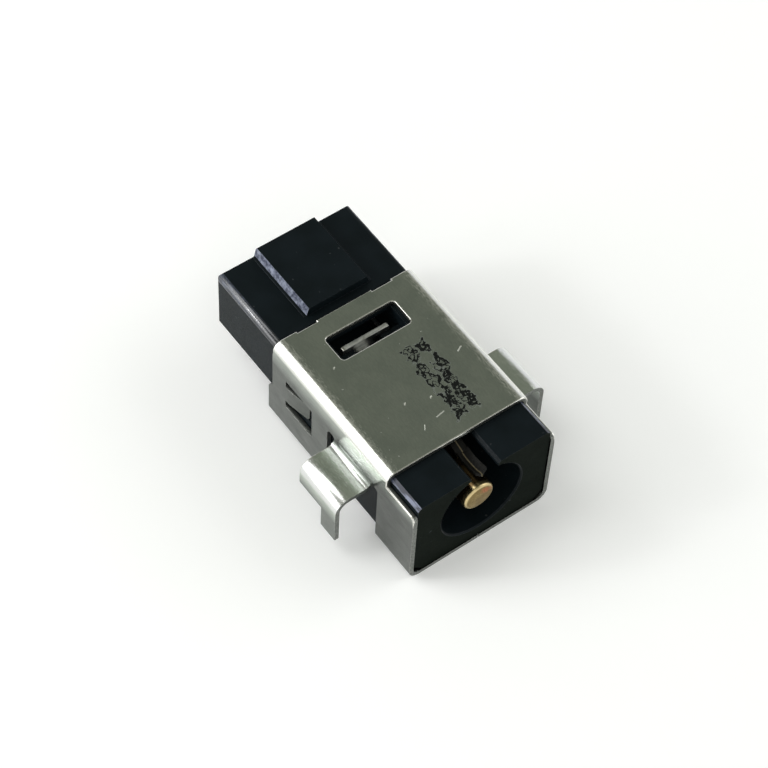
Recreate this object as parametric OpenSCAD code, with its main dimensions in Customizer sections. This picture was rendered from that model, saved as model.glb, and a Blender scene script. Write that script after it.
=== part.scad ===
// Board-mounted barrel power socket: a moulded housing wrapped by a folded sheet shell,
// with a riveted centre pin, the pin's terminal and a one-piece sleeve spring.
//
// Working frame of the modules: y = 0 at the mouth and growing to the rear, z = 0 on the pin's
// axis, x = 0 in the middle. place() moves it so that the part stands centred on the origin.

/* [Plug socket] */
// Diameter of the bore that takes the plug's barrel
bore_d = 5.75; // [5.3:0.05:6.1]
// Depth of the bore behind the mouth
bore_depth = 9.2; // [7.5:0.1:9.6]
// Diameter of the centre pin
pin_d = 2.1; // [1.6:0.05:2.6]
// Distance from the mouth back to the pin's tip
pin_setback = 0.3; // [0:0.05:1.5]
// Rounding of the pin's tip
pin_tip_r = 0.18; // [0.05:0.01:0.4]
// Diameter of the pin's riveted spigot
spigot_d = 0.8; // [0.6:0.05:0.9]
// Thickness of the wall between the bore and the contacts
floor_wall = 1; // [0.8:0.05:1.2]
// Width of the open slot over the bore
slot_w = 1.95; // [1.6:0.05:2.6]

/* [Sheet shell] */
// Outside width of the shell
shell_w = 10.2; // [9.6:0.1:11]
// Outside height of the shell, strap to top plate
shell_h = 7.53; // [7.4:0.01:8.2]
// Height of the top plate's upper face over the pin's axis
plate_z = 3.47; // [3.4:0.01:3.7]
// Sheet thickness
sheet = 0.3; // [0.2:0.01:0.35]
// Outside radius of the bends along the top plate
bend_r = 0.65; // [0.45:0.01:0.9]
// Outside radius of the bends beside the strap
foot_r = 0.8; // [0.5:0.01:1]
// Length from the mouth to the top plate's rear edge
shell_len = 14; // [13.6:0.1:14.4]
// Distance from the mouth back to the top plate's front edge
plate_setback = 2.66; // [1.5:0.01:3]
// Height of the side walls' top edge at the mouth, over the pin's axis
mouth_wall_z = 2.48; // [1.8:0.01:2.7]
// Length of the strap that passes under the mouth
strap_len = 3.4; // [2.5:0.1:3.5]
// Depth of the rear side walls' bottom edge under the pin's axis
wall_drop = 3.39; // [2.6:0.01:3.6]
// How far the lower rear corners of the side walls reach past the top plate
wall_tail = 0.4; // [0:0.05:0.6]
// Height of the step over those corners, over the pin's axis
wall_tail_z = -0.7; // [-1.4:0.1:0.2]

/* [Window and lances] */
// Width of the window in the top plate
window_w = 5; // [4.2:0.1:6]
// Length of the window along the shell
window_len = 1.9; // [1.5:0.05:2.4]
// Distance from the window's front edge to the sleeve spring's cross bar
window_lead = 0.94; // [0.6:0.01:1.2]
// Sideways offset of the window
window_x = 0.12; // [-0.2:0.01:0.3]
// Corner radius of the window
window_r = 0.25; // [0.1:0.01:0.4]
// Length of the opening that each lance is cut from
lance_open_len = 2.7; // [2.3:0.05:3]
// Height of that opening
lance_open_h = 2.6; // [2.2:0.05:2.8]
// Distance from the mouth to the opening's front edge
lance_y = 9.95; // [9.6:0.05:10.2]
// Distance from the opening's rear edge forward to a lance's fold
lance_root = 0.35; // [0.2:0.05:0.5]
// Length of a lance from its fold to its tip
lance_len = 1.7; // [1.4:0.05:1.8]
// Width of a lance
lance_h = 1.4; // [1.1:0.05:1.8]
// Inward angle of a lance
lance_angle = 11.5; // [6:0.5:12]
// Corner radius of a lance's tip
lance_tip_r = 0.3; // [0.1:0.01:0.4]

/* [Board tabs] */
// Distance from the mouth to the tabs' front edge
tab_y = 4; // [3.7:0.05:4.4]
// Length of a tab along the shell
tab_len = 3.65; // [3:0.05:4]
// Height of the tabs' upper face over the pin's axis
tab_z = 0.97; // [0.6:0.01:1.2]
// Width over both tabs
tab_span = 15.24; // [14.2:0.02:16]
// Radius of the fold where a tab leaves the wall
fold_r = 0.35; // [0.2:0.01:0.5]
// Outside radius of the bend at a tab's outer edge
curl_r = 0.6; // [0.4:0.01:0.8]
// Height of a tab's skirt over the board
tab_standoff = 0.34; // [0:0.01:0.6]
// Width of the leg under each tab
leg_w = 1.4; // [1:0.05:1.8]
// Length of the leg below the board's upper face
leg_reach = 1.46; // [0.8:0.01:2]
// Height of the front relief's top, over the pin's axis
relief_front_z = 1.2; // [1:0.01:1.3]
// Width of the relief slot behind a tab
relief_w = 0.75; // [0.4:0.05:1]
// Height of that relief's top, over the pin's axis
relief_z = 1.45; // [1.4:0.01:1.6]

/* [Housing] */
// Distance from the mouth to the housing's rear face
body_len = 20.2; // [19:0.1:21]
// Distance from the mouth back to the housing's front face
face_setback = 0.08; // [0:0.01:0.2]
// Width of the rear block
rear_w = 9.7; // [9:0.05:10]
// Height of the rear block's shoulders over the pin's axis
rear_z = 3.2; // [3:0.01:3.4]
// Depth of the rear block's seat under the pin's axis
seat_drop = 1.24; // [1.2:0.01:1.4]
// Rounding of the rear block's upright corners
rear_corner_r = 0.18; // [0.1:0.01:0.8]
// Rounding along each shoulder
shoulder_r = 0.4; // [0.1:0.01:0.8]
// Rounding of the upper rear edges
rear_edge_r = 0.15; // [0.05:0.01:0.4]
// Width of the raised boss at its top
boss_w = 4.2; // [3.4:0.01:4.6]
// Sideways offset of the boss
boss_x = 0.1; // [-0.2:0.01:0.3]
// Height of the boss over the shoulders
boss_h = 0.64; // [0.3:0.01:0.9]
// Sideways slope of the boss's flanks
boss_draft = 0.2; // [0:0.01:0.5]
// Rounding of the boss's upright rear corners
boss_corner_r = 0.35; // [0.1:0.01:0.6]
// Gap between the top plate's rear edge and the boss
boss_gap = 0.7; // [0.3:0.05:1.2]
// Chamfer of the front block's upper edges
front_chamfer = 0.24; // [0.1:0.01:0.3]
// Depth of the window's pocket floor over the pin's axis
pocket_z = 2.35; // [2.1:0.01:2.5]
// Sideways slope of the pocket's walls
pocket_draft = 0.28; // [0:0.01:0.4]
// Thickness of the rear block's floor under the contacts
seat_wall = 0.29; // [0.25:0.01:0.34]
// Play between the housing and the shell
shell_gap = 0.05; // [0.02:0.01:0.08]

/* [Contacts] */
// Thickness of the sleeve spring's bar, arms and tails
strip = 0.3; // [0.2:0.01:0.35]
// Thickness of the pin's terminal
terminal_t = 0.25; // [0.2:0.01:0.3]
// Width of the pin's terminal
terminal_w = 2.2; // [1.8:0.05:2.25]
// Distance from the mouth to the pin's terminal's tail
pin_tail_y = 15.6; // [15.2:0.1:16.4]
// Distance from the mouth to the rear of the sleeve spring's tails
sleeve_tail_y = 18.2; // [17.6:0.1:18.8]
// Width of a solder tail
tail_w = 0.9; // [0.6:0.05:1.1]
// Distance from the pin's terminal back to the sleeve spring's cross bar
bar_gap = 1.2; // [1.1:0.05:1.5]
// Width of the cross bar's raised part
bar_w = 3.4; // [2.8:0.05:4]
// Height of the cross bar's top over the pin's axis
bar_z = 2.75; // [2.5:0.01:2.8]
// Thickness of the sleeve spring's leaf
leaf_t = 0.2; // [0.12:0.01:0.25]
// Width of the leaf
leaf_w = 0.8; // [0.7:0.05:1.3]
// Height of the leaf's run over the pin's axis, at its underside
leaf_z = 2.78; // [2.7:0.01:2.85]
// Height of the leaf's contact point over the pin's axis
leaf_belly_z = 1.96; // [1.9:0.01:2.3]
// Distance from the mouth to the leaf's contact point
leaf_belly_y = 1.45; // [1.3:0.05:1.8]
// Radius of the leaf's curved nose
nose_r = 3; // [2:0.1:4]
// Angle from the contact point forward to the nose's tip
nose_front = 23; // [15:1:25]
// Angle from the contact point back to the leaf's straight run
nose_rear = 18; // [12:1:25]
// Depth of the crease pressed along the nose
nose_crease = 0.32; // [0:0.01:0.4]
// Play between a contact and its channel
contact_gap = 0.05; // [0.02:0.01:0.08]

/* [Hidden] */
$fn = 64;
eps = 0.01;

half_w = shell_w / 2;
strap_z = plate_z - shell_h;
axis_height = -strap_z;
wall_in = half_w - sheet;

front_half = wall_in - shell_gap;
front_top = plate_z - sheet - shell_gap;
front_bottom = strap_z + sheet;

web = 0.3;
fold_in_r = 0.1;
flange_y = bore_depth + floor_wall;
flange_top = spigot_d / 2 + 0.4;
arm_bottom = -seat_drop + seat_wall + contact_gap;
rivet_r = -arm_bottom - terminal_t - fold_in_r;
tunnel_half = terminal_w / 2 + contact_gap;
tunnel_top = flange_top + contact_gap;

bar_y = flange_y + terminal_t + bar_gap;
bar_foot_z = tunnel_top + web + contact_gap;
arm_in = tunnel_half + web + contact_gap;
arm_out = arm_in + 0.4 + fold_in_r + strip;
window_y = bar_y - window_lead + window_len / 2;
lance_fold_y = lance_y + lance_open_len - lance_root;
leaf_rise_y = bore_depth - 0.7;
leaf_foot_y = bar_y - 0.5;
leaf_foot_z = bar_foot_z + 0.1;

// Moves a piece from the working frame to the part's own frame.
module place() {
    translate([0, -body_len / 2, axis_height]) children();
}

// Extrudes an outline drawn in x and z from y0 to y1.
module along_y(y0, y1) {
    translate([0, y1, 0]) rotate([90, 0, 0]) linear_extrude(y1 - y0) children();
}

// Extrudes an outline drawn in y and z across x0 to x1.
module across_x(x0, x1) {
    translate([x0, 0, 0]) rotate([90, 0, 90]) linear_extrude(x1 - x0) children();
}

// A box from its lowest to its highest corner.
module span(low, high) {
    translate(low) cube(high - low);
}

module both_sides() {
    children();
    mirror([1, 0, 0]) children();
}

// A rectangle with round corners, from its lowest to its highest corner.
module round_rect(low, high, r) {
    translate([low[0] + r, low[1]]) square([high[0] - low[0] - 2 * r, high[1] - low[1]]);
    translate([low[0], low[1] + r]) square([high[0] - low[0], high[1] - low[1] - 2 * r]);
    for (x = [low[0] + r, high[0] - r], y = [low[1] + r, high[1] - r])
        translate([x, y]) circle(r);
}

// A quarter of a bent sheet: turn 0 lies between +x and +y of its centre.
module bend(r_out, t, turn) {
    rotate(turn) intersection() {
        difference() {
            circle(r_out);
            circle(r_out - t);
        }
        square(r_out + 1);
    }
}

// ---------------------------------------------------------------- shell

// The shell's section: a rectangle with one radius at its top and another at its foot.
module tube_section(half, low, high, top_r, low_r) {
    translate([-half, low + low_r]) square([2 * half, high - low - top_r - low_r]);
    translate([-half + top_r, low + low_r]) square([2 * (half - top_r), high - low - low_r]);
    translate([-half + low_r, low]) square([2 * (half - low_r), high - low - top_r]);
    for (side = [-1, 1]) {
        translate([side * (half - top_r), high - top_r]) circle(top_r);
        translate([side * (half - low_r), low + low_r]) circle(low_r);
    }
}

module shell_tube() {
    along_y(0, shell_len + wall_tail) difference() {
        tube_section(half_w, strap_z, plate_z, bend_r, foot_r);
        tube_section(wall_in, strap_z + sheet, plate_z - sheet, bend_r - sheet, foot_r - sheet);
    }
}

// The opening left in a wall by its tab: relief in front, the tab's own blank, relief behind.
module tab_opening() {
    front = strap_len;
    rear = tab_y + tab_len + relief_w;
    front_r = (tab_y - strap_len) / 2;
    root_z = tab_z + fold_r;
    across_x(wall_in - 1, half_w + 1) {
        translate([front, strap_z - 1]) square([rear - front, tab_z - strap_z + 1]);
        translate([tab_y, 0]) square([tab_len, root_z]);
        translate([front + front_r, relief_front_z - front_r]) circle(front_r);
        translate([front, 0]) square([2 * front_r, relief_front_z - front_r]);
        translate([rear - relief_w / 2, relief_z - relief_w / 2]) circle(relief_w / 2);
        translate([rear - relief_w, 0]) square([relief_w, relief_z - relief_w / 2]);
    }
}

// The opening round a lance. Behind the fold only two slots are cut, above and below the tongue.
module lance_opening() {
    rear = lance_y + lance_open_len;
    slot_h = (lance_open_h - lance_h) / 2;
    start = lance_fold_y - slot_h;
    across_x(wall_in - 1, half_w + 1) {
        translate([lance_y, -lance_open_h / 2])
            square([lance_fold_y - lance_y, lance_open_h]);
        for (z = [-lance_open_h / 2, lance_h / 2])
            round_rect([start, z], [rear, z + slot_h], 0.1);
    }
}

module lance() {
    r = lance_tip_r;
    translate([half_w, lance_fold_y, 0]) rotate([0, 0, -lance_angle]) across_x(-sheet, 0) {
        translate([r - lance_len, -lance_h / 2]) square([lance_len - r, lance_h]);
        translate([-lance_len, r - lance_h / 2]) square([lance_len, lance_h - 2 * r]);
        for (side = [-1, 1]) translate([r - lance_len, side * (lance_h / 2 - r)]) circle(r);
    }
}

// One tab: folded out of the wall, flat, bent down to a skirt, and a leg for the board.
module tab() {
    out = tab_span / 2;
    skirt_z = -seat_drop + tab_standoff;
    along_y(tab_y, tab_y + tab_len) {
        translate([half_w + fold_r, tab_z + fold_r]) bend(fold_r + sheet, sheet, 180);
        translate([half_w + fold_r, tab_z - sheet])
            square([out - curl_r - half_w - fold_r, sheet]);
        translate([out - curl_r, tab_z - curl_r]) bend(curl_r, sheet, 0);
        translate([out - sheet, skirt_z]) square([sheet, tab_z - curl_r - skirt_z]);
    }
    span([out - sheet, tab_y, -seat_drop - leg_reach], [out, tab_y + leg_w, skirt_z + eps]);
}

// The dovetail seam where the strap's two ends meet under the mouth.
module seam() {
    gap = 0.08;
    neck = 0.9;
    head = 1.5;
    reach = 0.9;
    mid = strap_len / 2;
    translate([0, 0, strap_z - 1]) linear_extrude(sheet + 1.5) {
        translate([-gap / 2, -1]) square([gap, mid - neck / 2 + 1]);
        translate([-gap / 2, mid + neck / 2]) square([gap, strap_len]);
        difference() {
            polygon([[-gap / 2, mid - neck / 2 - gap], [reach + gap, mid - head / 2 - gap],
                     [reach + gap, mid + head / 2 + gap], [-gap / 2, mid + neck / 2 + gap]]);
            polygon([[-gap, mid - neck / 2], [reach, mid - head / 2],
                     [reach, mid + head / 2], [-gap, mid + neck / 2]]);
        }
    }
}

module window() {
    translate([0, 0, plate_z - sheet - eps]) linear_extrude(sheet + 1)
        round_rect([window_x - window_w / 2, window_y - window_len / 2],
                   [window_x + window_w / 2, window_y + window_len / 2], window_r);
}

module shell() {
    notch_d = 0.12;
    notch_w = 1.4;
    notch_x = 2.7;
    far = shell_len + wall_tail + 1;
    color([0.62, 0.63, 0.6]) place() {
        difference() {
            shell_tube();
            span([-half_w - 1, -1, mouth_wall_z], [half_w + 1, plate_setback, plate_z + 1]);
            span([-half_w - 1, strap_len, strap_z - 1], [half_w + 1, far, -wall_drop]);
            across_x(-half_w - 1, half_w + 1)
                polygon([[shell_len, plate_z + 1], [shell_len, wall_tail_z],
                         [shell_len + wall_tail, wall_tail_z - wall_tail], [far, wall_tail_z - wall_tail],
                         [far, plate_z + 1]]);
            both_sides() tab_opening();
            both_sides() lance_opening();
            both_sides()
                span([notch_x - notch_w / 2, shell_len - notch_d, plate_z - sheet - eps],
                     [notch_x + notch_w / 2, far, plate_z + 1]);
            window();
            seam();
        }
        both_sides() tab();
        both_sides() lance();
    }
}

// ---------------------------------------------------------------- housing

module front_block() {
    c = front_chamfer;
    foot = foot_r - sheet + 0.15;
    along_y(face_setback, shell_len)
        polygon([[-front_half, front_bottom + foot], [-front_half + foot, front_bottom],
                 [front_half - foot, front_bottom], [front_half, front_bottom + foot],
                 [front_half, front_top - c], [front_half - c, front_top],
                 [-front_half + c, front_top], [-front_half, front_top - c]]);
}

// A block's outline in x and z with both upper corners rounded.
module crowned(half, low, high, r) {
    translate([-half, low]) square([2 * half, high - low - r]);
    translate([r - half, low]) square([2 * (half - r), high - low]);
    for (side = [-1, 1]) translate([side * (half - r), high - r]) circle(r);
}

// The rear block seen from the side, up to a height, with its upper rear edge rounded.
module side_outline(high) {
    front = shell_len - 2;
    r = rear_edge_r;
    translate([front, -seat_drop]) square([body_len - front, high + seat_drop - r]);
    translate([front, -seat_drop]) square([body_len - front - r, high + seat_drop]);
    translate([body_len - r, high - r]) circle(r);
}

// The rear block seen from above, with round rear corners.
module plan_outline(half, r) {
    round_rect([-half, shell_len - 2], [half, body_len], r);
}

// The raised middle of the rear block, on a low lip.
module boss() {
    lip_w = 0.16;
    lip_h = 0.06;
    top = boss_w / 2;
    base = top + boss_draft;
    boss_z = rear_z + boss_h;
    translate([boss_x, 0, 0]) intersection() {
        along_y(shell_len + boss_gap, body_len) {
            polygon([[-base, 0], [-base, rear_z], [-top, boss_z],
                     [top, boss_z], [base, rear_z], [base, 0]]);
            translate([-base - lip_w, 0]) square([2 * (base + lip_w), rear_z + lip_h]);
        }
        across_x(-base - 1, base + 1) side_outline(boss_z);
        linear_extrude(boss_z + 1) plan_outline(base + lip_w, boss_corner_r);
    }
}

module rear_block() {
    half = rear_w / 2;
    start = shell_len + wall_tail + shell_gap;
    intersection() {
        union() {
            along_y(start, body_len) crowned(half, -seat_drop, rear_z, shoulder_r);
            along_y(shell_len + shell_gap, start + eps)
                crowned(half, wall_tail_z + shell_gap, rear_z, shoulder_r);
        }
        across_x(-half - 1, half + 1) side_outline(rear_z);
        translate([0, 0, -seat_drop]) linear_extrude(seat_drop + rear_z + 1)
            plan_outline(half, rear_corner_r);
    }
    boss();
    span([-wall_in + shell_gap, shell_len - 1, -seat_drop],
         [wall_in - shell_gap, start + 1, rear_z - shoulder_r]);
}

// The bore for the plug, with the slot above it that the sleeve spring's leaf lies in.
module socket_cut() {
    edge = 0.16;
    half = slot_w / 2;
    lead = 0.1;
    under = 0.15;
    rotate([-90, 0, 0]) translate([0, 0, -1]) cylinder(d = bore_d, h = bore_depth + 1);
    rotate([-90, 0, 0]) translate([0, 0, face_setback - eps])
        cylinder(r1 = bore_d / 2 + lead, r2 = bore_d / 2, h = lead);
    rotate([-90, 0, 0]) cylinder(d = spigot_d + 0.04, h = flange_y + 1);
    along_y(-1, bore_depth) translate([-half, 0]) square([2 * half, front_top + 1]);
    along_y(-1, bar_y)
        polygon([[-half, front_top - edge], [half, front_top - edge],
                 [half + edge + 1, front_top + 1], [-half - edge - 1, front_top + 1]]);
    across_x(-half, half)
        polygon([[leaf_rise_y, front_top + 1], [leaf_rise_y, leaf_z - under],
                 [leaf_foot_y, leaf_foot_z - under], [bar_y + eps, bar_foot_z - contact_gap],
                 [bar_y + eps, front_top + 1]]);
}

// The pocket under the window, narrower at its floor.
module window_pocket() {
    x0 = window_x - window_w / 2 + shell_gap;
    x1 = window_x + window_w / 2 - shell_gap;
    along_y(window_y - window_len / 2, window_y + window_len / 2)
        polygon([[x0 + pocket_draft, pocket_z], [x1 - pocket_draft, pocket_z],
                 [x1, front_top + 1], [x0, front_top + 1]]);
}

// Channels for the contacts, all open at the rear face so that each contact is pushed in.
module contact_channels() {
    far = body_len + 1;
    tail_half = tail_w / 2 + contact_gap;
    arm_face = arm_out - strip - contact_gap;
    out = arm_out + contact_gap;
    floor_z = arm_bottom - contact_gap;
    span([-tunnel_half, flange_y, floor_z], [tunnel_half, far, tunnel_top]);
    span([-tail_half, pin_tail_y - contact_gap, -seat_drop - 1], [tail_half, far, 0]);
    span([-out, bar_y, bar_foot_z - contact_gap], [out, far, bar_z + contact_gap]);
    both_sides() {
        span([arm_in - contact_gap, bar_y, floor_z], [out, far, bar_z + contact_gap]);
        span([arm_face, sleeve_tail_y - tail_w - contact_gap, -seat_drop - 1], [out, far, 0]);
    }
}

// Side recesses that the lances snap into.
module lance_pocket() {
    tip_y = lance_fold_y - lance_len * cos(lance_angle);
    depth = lance_len * sin(lance_angle) + 0.1;
    span([wall_in - depth, tip_y - contact_gap - sheet * sin(lance_angle), -lance_h / 2 - 0.05],
         [half_w, lance_y + lance_open_len + 0.1, lance_h / 2 + 0.05]);
}

module housing() {
    color([0.09, 0.11, 0.11]) place() difference() {
        union() {
            front_block();
            rear_block();
        }
        socket_cut();
        window_pocket();
        contact_channels();
        both_sides() lance_pocket();
    }
}

// ---------------------------------------------------------------- contacts

// The turned pin: round-edged tip, shank, spigot through the wall and a riveted head.
module centre_pin() {
    r = pin_d / 2;
    shank = bore_depth - pin_setback;
    head_y = flange_y + terminal_t - pin_setback;
    head_h = 0.28;
    color([0.83, 0.66, 0.33]) place() translate([0, pin_setback, 0]) rotate([-90, 0, 0])
        rotate_extrude() {
            square([r - pin_tip_r, shank]);
            translate([0, pin_tip_r]) square([r, shank - pin_tip_r]);
            translate([r - pin_tip_r, pin_tip_r]) circle(pin_tip_r);
            square([spigot_d / 2, head_y + head_h]);
            translate([0, head_y]) square([rivet_r, head_h]);
        }
}

// The pin's terminal: a pierced flange, an arm along the tunnel's floor and a solder tail.
module pin_terminal() {
    half = terminal_w / 2;
    t = terminal_t;
    r = fold_in_r + t;
    tail_rear = pin_tail_y + t;
    color([0.78, 0.76, 0.68]) place() difference() {
        union() {
            across_x(-half, half) {
                translate([flange_y, arm_bottom + r]) square([t, flange_top - arm_bottom - r]);
                translate([flange_y + r, arm_bottom + r]) bend(r, t, 180);
                translate([flange_y + r, arm_bottom]) square([tail_rear - 2 * r - flange_y, t]);
            }
            across_x(-tail_w / 2, tail_w / 2) {
                translate([tail_rear - r, arm_bottom + t - r]) bend(r, t, 0);
                translate([pin_tail_y, strap_z]) square([t, arm_bottom + t - r - strap_z]);
            }
        }
        rotate([-90, 0, 0]) cylinder(d = spigot_d + 0.04, h = flange_y + 1);
    }
}

// The leaf's straight run, drawn in y and z: up from the bar's foot, along the slot and down
// to the nose, where it ends half-way up the crease.
module leaf_run() {
    mean_r = nose_r - nose_crease / 2;
    end_y = leaf_belly_y + mean_r * sin(nose_rear - 3);
    end_z = leaf_belly_z + nose_r - mean_r * cos(nose_rear - 3);
    down_y = end_y + (leaf_z - end_z) / tan(nose_rear);
    y = [bar_y + strip - 0.1, leaf_foot_y, leaf_rise_y, down_y, end_y];
    z = [bar_foot_z, leaf_foot_z, leaf_z, leaf_z, end_z];
    last = len(y) - 1;
    polygon(concat([for (i = [0 : last]) [y[i], z[i]]],
                   [for (i = [last : -1 : 0]) [y[i], z[i] + leaf_t]]));
}

// The leaf's curved nose, creased down its middle so that it meets the plug's sleeve on a line.
module leaf_nose() {
    w = leaf_w / 2;
    side_r = nose_r - nose_crease;
    translate([0, leaf_belly_y, leaf_belly_z + nose_r]) rotate([0, 90, 0])
        rotate([0, 0, -nose_front]) rotate_extrude(angle = nose_front + nose_rear)
            polygon([[nose_r, 0], [side_r, w], [side_r - leaf_t, w], [nose_r - leaf_t, 0],
                     [side_r - leaf_t, -w], [side_r, -w]]);
}

// The sleeve spring: a cross bar with the leaf in front, two arms behind and their tails.
module sleeve_spring() {
    arm_top = 0.6;
    fold_r = fold_in_r + strip;
    flat_end = arm_out - fold_r;
    color([0.72, 0.72, 0.7]) place() {
        along_y(bar_y, bar_y + strip) {
            round_rect([-bar_w / 2, bar_foot_z + 0.3], [bar_w / 2, bar_z], 0.12);
            translate([-flat_end, bar_foot_z]) square([2 * flat_end, 0.6]);
        }
        across_x(-leaf_w / 2, leaf_w / 2) leaf_run();
        leaf_nose();
        both_sides() {
            span([arm_in, bar_y, arm_bottom], [flat_end, bar_y + strip, bar_foot_z + 0.1]);
            translate([0, 0, arm_bottom]) linear_extrude(arm_top - arm_bottom) {
                translate([flat_end, bar_y + fold_r]) bend(fold_r, strip, 270);
                translate([arm_out - strip, bar_y + fold_r])
                    square([strip, sleeve_tail_y - bar_y - fold_r]);
            }
            span([arm_out - strip, sleeve_tail_y - tail_w, strap_z],
                 [arm_out, sleeve_tail_y, arm_bottom + eps]);
        }
    }
}

shell();
housing();
centre_pin();
pin_terminal();
sleeve_spring();
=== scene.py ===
# %% [markdown]
# # A board-mounted barrel power socket
# The part is about 20 mm long: a black moulded housing, a nickel-plated sheet shell folded round
# it, a gold pin in a round bore and a sprung contact above the pin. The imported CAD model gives
# the place and size of every piece, and a few sizes within a piece are repeated here from its
# source. This lesson adds what a solid model lacks: softened edges, sheared and burnished faces,
# moulding marks, and finishes with grain.

# %% Load the frame
import bpy
import math
from mathutils import Matrix, Vector


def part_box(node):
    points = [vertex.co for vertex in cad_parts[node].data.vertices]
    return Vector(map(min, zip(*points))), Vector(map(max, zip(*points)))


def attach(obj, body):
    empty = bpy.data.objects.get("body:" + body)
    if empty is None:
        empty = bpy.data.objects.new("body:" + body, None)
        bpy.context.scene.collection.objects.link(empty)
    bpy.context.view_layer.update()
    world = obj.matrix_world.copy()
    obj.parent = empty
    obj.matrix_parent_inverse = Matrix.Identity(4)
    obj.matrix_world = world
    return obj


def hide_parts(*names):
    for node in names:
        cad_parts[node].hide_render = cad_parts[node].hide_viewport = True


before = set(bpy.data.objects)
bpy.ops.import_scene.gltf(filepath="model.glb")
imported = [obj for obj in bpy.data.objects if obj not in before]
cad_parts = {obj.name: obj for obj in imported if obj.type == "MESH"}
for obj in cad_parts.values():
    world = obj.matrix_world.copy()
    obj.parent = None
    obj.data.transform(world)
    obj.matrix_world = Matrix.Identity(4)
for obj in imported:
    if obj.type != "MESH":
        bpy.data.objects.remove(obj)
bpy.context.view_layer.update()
MM = 0.001

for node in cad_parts:
    low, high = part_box(node)
    size = [round(v / MM, 2) for v in high - low]
    print(node, "is", size, "mm")

# %% [markdown]
# ## The places that other cells need
# The pin stands on the bore's axis, so its box gives the axis and its height. The mouth of the
# socket is the front of the shell's box. Places along the part are then counted from the mouth
# and from the axis, as on a maker's drawing.

# %% Axis and mouth
pin_low, pin_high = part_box("centre_pin")
shell_low, shell_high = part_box("shell")
housing_low, housing_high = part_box("housing")
axis_z = (pin_low.z + pin_high.z) / 2
mouth_y = shell_low.y
print("axis", round(axis_z / MM, 2), "mm up, mouth at", round(mouth_y / MM, 2), "mm")


def from_mouth(x, y, z):
    """A place in metres from mm across, mm behind the mouth and mm over the axis."""
    return Vector((x * MM, mouth_y + y * MM, axis_z + z * MM))


# %% [markdown]
# ## Camera
# The part is seen from its front left and from well above, through a long lens. A camera looks
# along its own -Z, so three directions at right angles are enough: back (from the part to the
# camera), right and up. A small roll turns the last two. A matrix of the three aims the camera
# with no constraint and no tracking.

# %% Camera
azimuth = math.radians(-39.03)
elevation = math.radians(55.18)
roll = math.radians(3.64)
aim = from_mouth(-1.457, 7.931, 3.619)
distance = 148.73 * MM

back = Vector((math.sin(azimuth) * math.cos(elevation),
               -math.cos(azimuth) * math.cos(elevation),
               math.sin(elevation)))
level = Vector((math.cos(azimuth), math.sin(azimuth), 0))
upright = back.cross(level)
right = math.cos(roll) * level + math.sin(roll) * upright
up = math.cos(roll) * upright - math.sin(roll) * level

lens = bpy.data.cameras.new("camera")
lens.sensor_width = 36
lens.lens = 120.45
lens.clip_start = MM
camera = bpy.data.objects.new("camera", lens)
bpy.context.scene.collection.objects.link(camera)
turn = Matrix((right, up, back)).transposed().to_4x4()
turn.translation = aim + back * distance
camera.matrix_world = turn
bpy.context.scene.camera = camera
print("camera at", [round(v / MM, 1) for v in camera.location], "mm")

# %% [markdown]
# ## Floor
# A product table is one plain, white, dull sheet. It is far larger than the view, so no edge or
# horizon shows. The floor matters for the part too: the plated walls mirror it, and close beside
# the part it lies in the part's own shade, which gives the walls part of their mid grey; the rest
# is painted shade in the walls' colour. A faint glow of its own, for direct sight and mirrors only,
# lifts the sheet to white, as a light table does, and it keeps the part's shadow because the glow
# is small. The sheet lies a hair below the strap and the tails, so that no two faces share a plane.


# %% Floor
def deselect():
    bpy.ops.object.select_all(action="DESELECT")


floor_size = 4
hair = 0.02 * MM
glow_strength = 0.14

deselect()
bpy.ops.mesh.primitive_plane_add(size=floor_size, location=(0, 0, -hair))
floor = bpy.context.object
floor.name = "floor"
paper = bpy.data.materials.new("white_table")
paper.use_nodes = True
paper_shader = paper.node_tree.nodes["Principled BSDF"]
paper_shader.inputs["Base Color"].default_value = (0.93, 0.935, 0.93, 1)
paper_shader.inputs["Roughness"].default_value = 1
paper_shader.inputs["Specular IOR Level"].default_value = 0
paper_shader.inputs["Emission Color"].default_value = (1, 1, 1, 1)
paths = paper.node_tree.nodes.new("ShaderNodeLightPath")
seen = paper.node_tree.nodes.new("ShaderNodeMath")
seen.operation = "MAXIMUM"
mirrored = paper.node_tree.nodes.new("ShaderNodeMath")
mirrored.operation = "MAXIMUM"
glow = paper.node_tree.nodes.new("ShaderNodeMath")
glow.operation = "MULTIPLY"
glow.inputs[1].default_value = glow_strength
paper.node_tree.links.new(paths.outputs["Is Camera Ray"], seen.inputs[0])
paper.node_tree.links.new(paths.outputs["Is Glossy Ray"], seen.inputs[1])
paper.node_tree.links.new(seen.outputs[0], mirrored.inputs[0])
paper.node_tree.links.new(paths.outputs["Is Transmission Ray"], mirrored.inputs[1])
paper.node_tree.links.new(mirrored.outputs[0], glow.inputs[0])
paper.node_tree.links.new(glow.outputs[0], paper_shader.inputs["Emission Strength"])
floor.data.materials.append(paper)
print("floor", tuple(round(v, 1) for v in floor.dimensions), "m")

# %% [markdown]
# ## Light
# Metal shows its surroundings more than its own colour. The long bends of the shell are white
# because they mirror a wide, low softbox at the rear left and a second one above it. The top
# plate faces the ceiling, which is a dim olive grey. A small bright lamp inside the big softbox
# draws the thin highlight on rounded black edges. A softbox at the right lights the table, and
# the part then shades the strip of table that its left wall mirrors. The brightness of a flat
# lamp is its power over pi times its area, so the helper works the power out.


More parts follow.
